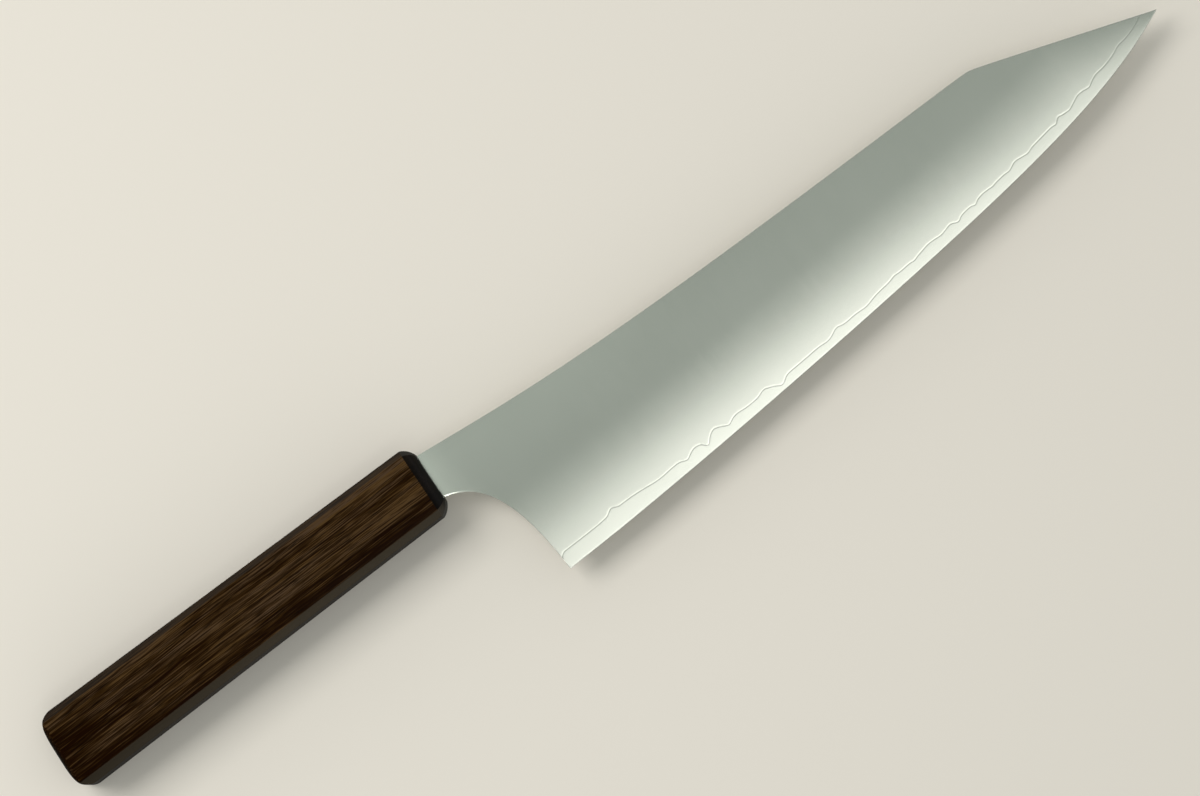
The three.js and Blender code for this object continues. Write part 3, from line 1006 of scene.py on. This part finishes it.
# %% Stained wood, darker at the edge side and the butt
BUTT_X = FRONT.x - HANDLE_LENGTH
EDGE_FADE = (FRONT.y - 9 * MM, FRONT.y - 2 * MM)
SPINE_FADE = (FRONT.y + 3 * MM, FRONT.y + 9 * MM)
BUTT_FADE = (BUTT_X, BUTT_X + 32 * MM)
EDGE_STAIN = -0.052
SPINE_STAIN = 0.025
BUTT_STAIN = -0.09
BODY_STAIN = -0.033
FIGURE_SHARE = 0.28
STREAK_SHARE = 0.32
FIBRE_SHARE = 0.26
WOOD_STOPS = [
    (0.328, (0.0082, 0.0023, 0.0002, 1)),
    (0.358, (0.0163, 0.0069, 0.0012, 1)),
    (0.384, (0.0290, 0.0148, 0.0050, 1)),
    (0.410, (0.0440, 0.0242, 0.0108, 1)),
    (0.440, (0.0740, 0.0440, 0.0225, 1)),
]
WARMTH_STOPS = [(0.38, (0.97, 0.97, 1.0, 1)), (0.62, (1.05, 0.97, 0.66, 1))]


def stain(tree):
    """How much lighter or darker the stain is, from the place on the handle."""
    place = object_place(tree)
    edge_side = remap(tree, place["Y"], *EDGE_FADE, EDGE_STAIN, 0)
    spine_side = remap(tree, place["Y"], *SPINE_FADE, 0, SPINE_STAIN)
    butt_end = remap(tree, place["X"], *BUTT_FADE, BUTT_STAIN, BODY_STAIN)
    return calc(tree, "ADD", calc(tree, "ADD", edge_side, spine_side), butt_end)


def wood_colour(tree, streaks, fibres):
    """A broad figure, streaks and fibres under the stain, some of them warmer than others."""
    tone = calc(tree, "MULTIPLY_ADD", grain(tree, "figure"), FIGURE_SHARE, stain(tree))
    tone = calc(tree, "MULTIPLY_ADD", streaks, STREAK_SHARE, tone)
    tone = calc(tree, "MULTIPLY_ADD", fibres, FIBRE_SHARE, tone)
    warmth = colour_ramp(tree, grain(tree, "warmth"), WARMTH_STOPS)
    return shaded(tree, colour_ramp(tree, tone, WOOD_STOPS), warmth)


print("stops of the stain, dark to light:", [place for place, _ in WOOD_STOPS])

# %% Dark end grain, painted shade on the facets, and lacquer that shines more on some sides
FRONT_TURN = (0.12, 0.32)
BUTT_TURN = (-0.95, -0.4)
FACET_TURN = (0.3, 0.8)
EDGE_SIDE_TURN = (-0.99, -0.9)
SHEEN_SLANT = (-0.44, -0.1)
OTHER_SLANT = (0.1, 0.44)
FRONT_SHADE = 0.08
BUTT_SHADE = 0.3
BROAD_SHADE = 0.94
# Painted shade on the facets and narrow sides.
FACET_PAINTED_SHADE = 0.36
RUBBED_SHINE = 0.4
PLAIN_SHINE = 0.07
OTHER_SHINE = 0.1
FRONT_SHINE = 0.17
EDGE_SIDE_SHINE = 0.11


def side_shade(tree, turned):
    """Darkness from the way the surface is turned: most on the end grain, and a painted shade on the
    facets and narrow sides.
    """
    front = remap(tree, turned["X"], *FRONT_TURN, 1, FRONT_SHADE)
    butt = remap(tree, turned["X"], *BUTT_TURN, BUTT_SHADE, 1)
    leaning = calc(tree, "ABSOLUTE", turned["Y"])
    # Painted shade: the facets and narrow sides are darkened by the way they are turned.
    facets = remap(tree, leaning, *FACET_TURN, BROAD_SHADE, FACET_PAINTED_SHADE)
    return calc(tree, "MULTIPLY", calc(tree, "MULTIPLY", front, butt), facets)


def lacquer_shine(tree, turned, slant, polish):
    """Weight of the clear coat: most on the two facets that also carry the painted sheen."""
    sheen = remap(tree, slant, *SHEEN_SLANT, RUBBED_SHINE, PLAIN_SHINE)
    other = remap(tree, slant, *OTHER_SLANT, 0, OTHER_SHINE)
    front = remap(tree, turned["X"], *FRONT_TURN, 0, FRONT_SHINE)
    edge_side = remap(tree, turned["Y"], *EDGE_SIDE_TURN, EDGE_SIDE_SHINE, 0)
    shine = calc(tree, "MULTIPLY_ADD", sheen, polish, other)
    return calc(tree, "ADD", shine, calc(tree, "ADD", front, edge_side))


print("weight of the lacquer, rubbed and plain:", RUBBED_SHINE, PLAIN_SHINE)

# %% Wood material
# Painted sheen: the two facets' colour is mixed towards this grey, which stands in for the reflected
# floor.
PAINTED_SHEEN_TONE = (0.042, 0.030, 0.014, 1)
PAINTED_SHEEN_SHARE = 0.7
# The lacquer's weight and the painted sheen fade to this share at the butt.
BUTT_POLISH = 0.68
POLISH_FADE = (BUTT_X, FRONT.x - 60 * MM)
PORE_RANGE = (0.58, 0.68)
PORE_SHADE = 0.45
PORE_DEPTH = 0.03 * MM
PORE_STRENGTH = 0.25
WOOD_ROUGHNESS = (0.36, 0.5)


def wood_material():
    material, tree, shader = new_material("handle_wood")
    sway = grain(tree, "sway")
    streaks = grain(tree, "streaks", sway)
    fibres = grain(tree, "fibres", sway)
    pores = remap(tree, grain(tree, "pores"), *PORE_RANGE, 1, PORE_SHADE)
    turned = split(tree, tree.nodes.new("ShaderNodeNewGeometry").outputs["Normal"])
    slant = calc(tree, "MULTIPLY", turned["Y"], turned["Z"])
    polish = remap(tree, object_place(tree)["X"], *POLISH_FADE, BUTT_POLISH, 1)
    shade = calc(tree, "MULTIPLY", pores, side_shade(tree, turned))
    stained = shaded(tree, wood_colour(tree, streaks, fibres), shade)
    # Painted sheen on the two facets: their colour is mixed towards a flat grey.
    sheen = remap(tree, slant, *SHEEN_SLANT, PAINTED_SHEEN_SHARE, 0)
    colour = blended(tree, sheen, stained, shaded(tree, PAINTED_SHEEN_TONE, polish))
    join(tree, colour, shader.inputs["Base Color"])
    join(tree, remap(tree, fibres, *NOISE_RANGE, *WOOD_ROUGHNESS), shader.inputs["Roughness"])
    join(tree, lacquer_shine(tree, turned, slant, polish), shader.inputs["Coat Weight"])
    set_inputs(shader, {"Specular IOR Level": 0, "Coat IOR": 1.45, "Coat Roughness": 0.16})
    add_bump(tree, shader, calc(tree, "MULTIPLY", pores, fibres), PORE_STRENGTH, PORE_DEPTH)
    return material


handle_wood = wood_material()
print("wood nodes:", len(handle_wood.node_tree.nodes))

# %% [markdown]
# ## The handle
# The block is planed to a tapering octagon, its front is cut a few degrees off square and rounded
# over, and the butt is bowed, a little aslant, with soft corners. Boxes with bevels could make it,
# but their corners come out all alike. A loft of rings is closer to the plane work: one ring
# function gives the octagon with slightly eased arrises at any place, and a list of cuts says how
# far each ring is drawn in.

# %% One ring of the octagon
FRONT_WIDTH = 22.95 * MM
BUTT_WIDTH = 25.4 * MM
FRONT_DEPTH = 18.4 * MM
BUTT_DEPTH = 20.2 * MM
FRONT_FACET = 1.95 * MM
BUTT_FACET = 2.35 * MM
FACET_DOWN = 3.6 * MM
ARRIS_RADIUS = 0.3 * MM
ARRIS_STEPS = 5
LEAST_FACET = 0.7 * MM


def octagon_sides(behind, spine_cut=0, edge_cut=0, face_cut=0):
    """Direction and reach of the eight sides in Y and Z, at a distance behind the front.
    The cuts draw in the spine, edge and broad sides, and the facets keep a least width."""
    share = behind / HANDLE_LENGTH
    half_width = lerp(FRONT_WIDTH, BUTT_WIDTH, share) / 2
    half_depth = lerp(FRONT_DEPTH, BUTT_DEPTH, share) / 2
    facet_across = lerp(FRONT_FACET, BUTT_FACET, share)
    lean = np.array([FACET_DOWN, facet_across]) / math.hypot(FACET_DOWN, facet_across)
    facet_reach = lean @ np.array([half_width, half_depth - FACET_DOWN])
    broad = half_depth - face_cut
    sides = []
    for up, out in ((1, 1), (1, -1), (-1, -1), (-1, 1)):
        narrow = half_width - (spine_cut if out > 0 else edge_cut)
        reach = min(facet_reach, lean @ np.array([narrow, broad]) - LEAST_FACET)
        facet = (lean * (out, up), reach)
        broad_side = (np.array([0, up]), broad)
        narrow_side = (np.array([out, 0]), narrow)
        sides += [facet, broad_side] if up * out > 0 else [facet, narrow_side]
    return np.array([side[0] for side in sides]), np.array([side[1] for side in sides])


def eased_ring(directions, reaches, radius):
    """The polygon of these sides, each given by its direction and reach, with its corners rounded."""
    points = []
    for index in range(len(directions)):
        following = (index + 1) % len(directions)
        here, after = directions[index], directions[following]
        both = np.array([here, after])
        centre = np.linalg.solve(both, [reaches[index] - radius, reaches[following] - radius])
        for share in np.linspace(0, 1, ARRIS_STEPS):
            normal = lerp(here, after, share)
            normal = normal / np.hypot(*normal)
            points.append(centre + radius * normal)
    return np.array(points)


front_ring = eased_ring(*octagon_sides(0), ARRIS_RADIUS)
print("points in a ring:", len(front_ring), "front size:", np.ptp(front_ring, axis=0))

# %% The bowed butt
BUTT_BOW_RADIUS = 47 * MM
BUTT_BOW_CENTRE = -3.5 * MM
SPINE_CORNER = 3.6 * MM
EDGE_CORNER = 4.0 * MM
FACE_CORNER = 1.2 * MM
BUTT_CROWN = 0.35 * MM
CROWN_SHARES = (0.02, 0.25, 0.5, 0.75)
CORNER_TURNS = np.radians(np.linspace(0, 90, 11))


def rounded_cut(radius, inside):
    """How far a rounded corner cuts into a side at this distance inside the end."""
    left = np.clip(radius - inside, 0, radius)
    return radius - np.sqrt(radius**2 - left**2)


def butt_place(across):
    """Where the bowed end lies, at a distance from the centre line."""
    return (across - BUTT_BOW_CENTRE) ** 2 / (2 * BUTT_BOW_RADIUS) - HANDLE_LENGTH


def butt_rings():
    """Rings over the butt: a low crown in the middle, then the rounded rim."""
    corners = (SPINE_CORNER, EDGE_CORNER, FACE_CORNER)
    inside = np.concatenate([radius * (1 - np.cos(CORNER_TURNS)) for radius in corners])
    rings = []
    for depth in np.unique(inside.round(6)):
        cuts = [rounded_cut(radius, depth) for radius in corners]
        flat = eased_ring(*octagon_sides(HANDLE_LENGTH - depth, *cuts), ARRIS_RADIUS)
        rings.append(np.column_stack([butt_place(flat[:, 0]) + depth, flat]))
    rim = rings[0][:, 1:]
    crown = []
    for share in CROWN_SHARES:
        flat = rim * share
        crown.append(np.column_stack([butt_place(flat[:, 0]) - BUTT_CROWN * (1 - share**2), flat]))
    return crown + rings


print("butt rings:", len(butt_rings()))
print("the spine side lies back by:", butt_place(BUTT_WIDTH / 2) + HANDLE_LENGTH)

# %% The rounded front
ROUND_LENGTH = 3.4 * MM
ROUND_DEPTH = 3.3 * MM
ROUND_TURN = math.radians(45)
ROUND_STEPS = 9
ROUND_EASE = 0.15 * MM
BUTT_ROOM = 2.4 * SPINE_CORNER
BODY_RINGS = 12


def front_cuts():
    """Places along the body and how far each ring is drawn in, over an arc that starts at an arris."""
    radius = math.hypot(ROUND_LENGTH, ROUND_DEPTH) / 2 / math.sin(ROUND_TURN / 2)
    first = math.atan2(ROUND_DEPTH, ROUND_LENGTH) - ROUND_TURN / 2
    ease = ROUND_EASE / radius
    last = first + ROUND_TURN
    body = np.linspace(HANDLE_LENGTH - BUTT_ROOM, ROUND_LENGTH + ROUND_EASE, BODY_RINGS)
    cuts = [(-behind, 0) for behind in body]
    for angle in (first, *np.linspace(first + ease, last - ease, ROUND_STEPS), last):
        x = radius * (math.sin(angle) - math.sin(first)) - ROUND_LENGTH
        cuts.append((x, radius * (math.cos(first) - math.cos(angle))))
    cuts.append((0, ROUND_DEPTH + ROUND_EASE))
    return cuts


print("body and front rings:", len(front_cuts()))

# %% The socket, and the loft of all rings
FRONT_SET = 0.26 * MM
HANDLE_DROP = 0.22 * MM
SOCKET_SIZE = np.array([bed_high.y - bed_low.y, bed_high.z - bed_low.z])
SOCKET_LENGTH = bed_high.x - bed_low.x
SOCKET_GAP = 0.05 * MM
SOCKET_EASE = 0.02 * MM
SOCKET_TAPER = np.array([0.64, 0.856])


def slanted_ring(x, flat):
    """Points of a ring, shifted along the handle: fully at the slanted front, not at the butt."""
    share = 1 + x / HANDLE_LENGTH
    return np.column_stack([x + share * (FRONT_SET + FRONT_SLANT * flat[:, 0]), flat])


def socket_ring(directions, size):
    half = size / 2 + SOCKET_GAP
    return eased_ring(directions, np.abs(directions) @ half - SOCKET_EASE, SOCKET_EASE)


def handle_loops():
    """All rings in order: over the butt, along the body, round the front and into the socket."""
    loops = [ring - np.array([0, HANDLE_DROP, 0]) for ring in butt_rings()]
    for x, drawn_in in front_cuts():
        directions, reaches = octagon_sides(-x)
        flat = eased_ring(directions, reaches - drawn_in, ARRIS_RADIUS)
        loops.append(slanted_ring(x, flat - np.array([HANDLE_DROP, 0])))
    loops.append(slanted_ring(0, socket_ring(directions, SOCKET_SIZE)))
    deep = socket_ring(directions, SOCKET_SIZE * SOCKET_TAPER)
    loops.append(np.column_stack([np.full(len(deep), -SOCKET_LENGTH - SOCKET_GAP), deep]))
    return loops


def lofted(name, loops):
    """A closed mesh through rings with equal numbers of points, with a face over each end."""
    count = len(loops[0])
    faces = []
    for base in range(0, count * (len(loops) - 1), count):
        for index in range(count):
            after = (index + 1) % count
            faces.append((base + index, base + after, base + after + count, base + index + count))
    faces.append(tuple(reversed(range(count))))
    faces.append(tuple(range(count * (len(loops) - 1), count * len(loops))))
    mesh = bpy.data.meshes.new(name)
    mesh.from_pydata([tuple(point) for point in np.concatenate(loops)], [], faces)
    mesh.transform(Matrix.Translation(FRONT))
    mesh.validate()
    return mesh


wooden_mesh = lofted("wooden_handle", handle_loops())
wooden_mesh.materials.append(handle_wood)
wooden_mesh.shade_smooth()
wooden_mesh.set_sharp_from_angle(angle=SMOOTH_LIMIT)
wooden_handle = add_object("wooden_handle", wooden_mesh)
bpy.context.view_layer.update()
print("handle:", len(wooden_mesh.polygons), "faces, open edges:", open_edges(wooden_mesh))
print("handle size:", tuple(wooden_handle.dimensions))

# %% [markdown]
# ## Resin in the socket
# The tang is bedded in dark resin, which shows only as a thin line where the blade enters the wood.
# A new mesh could be made for it, but its solid already has the right shape. So it keeps that shape
# and gets a finish of its own: a glossy near-black with a faint mottle, as cured resin has.

# %% Resin finish on its solid
MOTTLE_SIZE = 1.5 * MM
RESIN_ROUGHNESS = (0.25, 0.4)
RESIN_STOPS = [(0.3, (0.006, 0.005, 0.004, 1)), (0.7, (0.016, 0.012, 0.009, 1))]

bedding_resin, resin_tree, resin_shader = new_material("bedding_resin")
mottle = object_noise(resin_tree, [MOTTLE_SIZE] * 3, detail=3.0)
resin_roughness = remap(resin_tree, mottle, *NOISE_RANGE, *RESIN_ROUGHNESS)
join(resin_tree, colour_ramp(resin_tree, mottle, RESIN_STOPS), resin_shader.inputs["Base Color"])
join(resin_tree, resin_roughness, resin_shader.inputs["Roughness"])
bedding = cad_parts["tang_bedding"]
bedding.data.materials.clear()
bedding.data.materials.append(bedding_resin)
print("resin box:", tuple(bed_low), tuple(bed_high))

# %% [markdown]
# ## Putting it together
# A knife has no moving parts, so every piece rides on the one body. Each new piece is listed with
# the solid that it stands for, which is hidden, and the finish slot that it belongs to.

# %% Ride and replace
for piece, node, slot in (
    (core_layer, "core_steel", "core_steel"),
    (right_layer, "right_cladding", "cladding_steel"),
    (left_layer, "left_cladding", "cladding_steel"),
    (wooden_handle, "handle", "handle_wood"),
):
    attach(piece, "root")
    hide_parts(node)
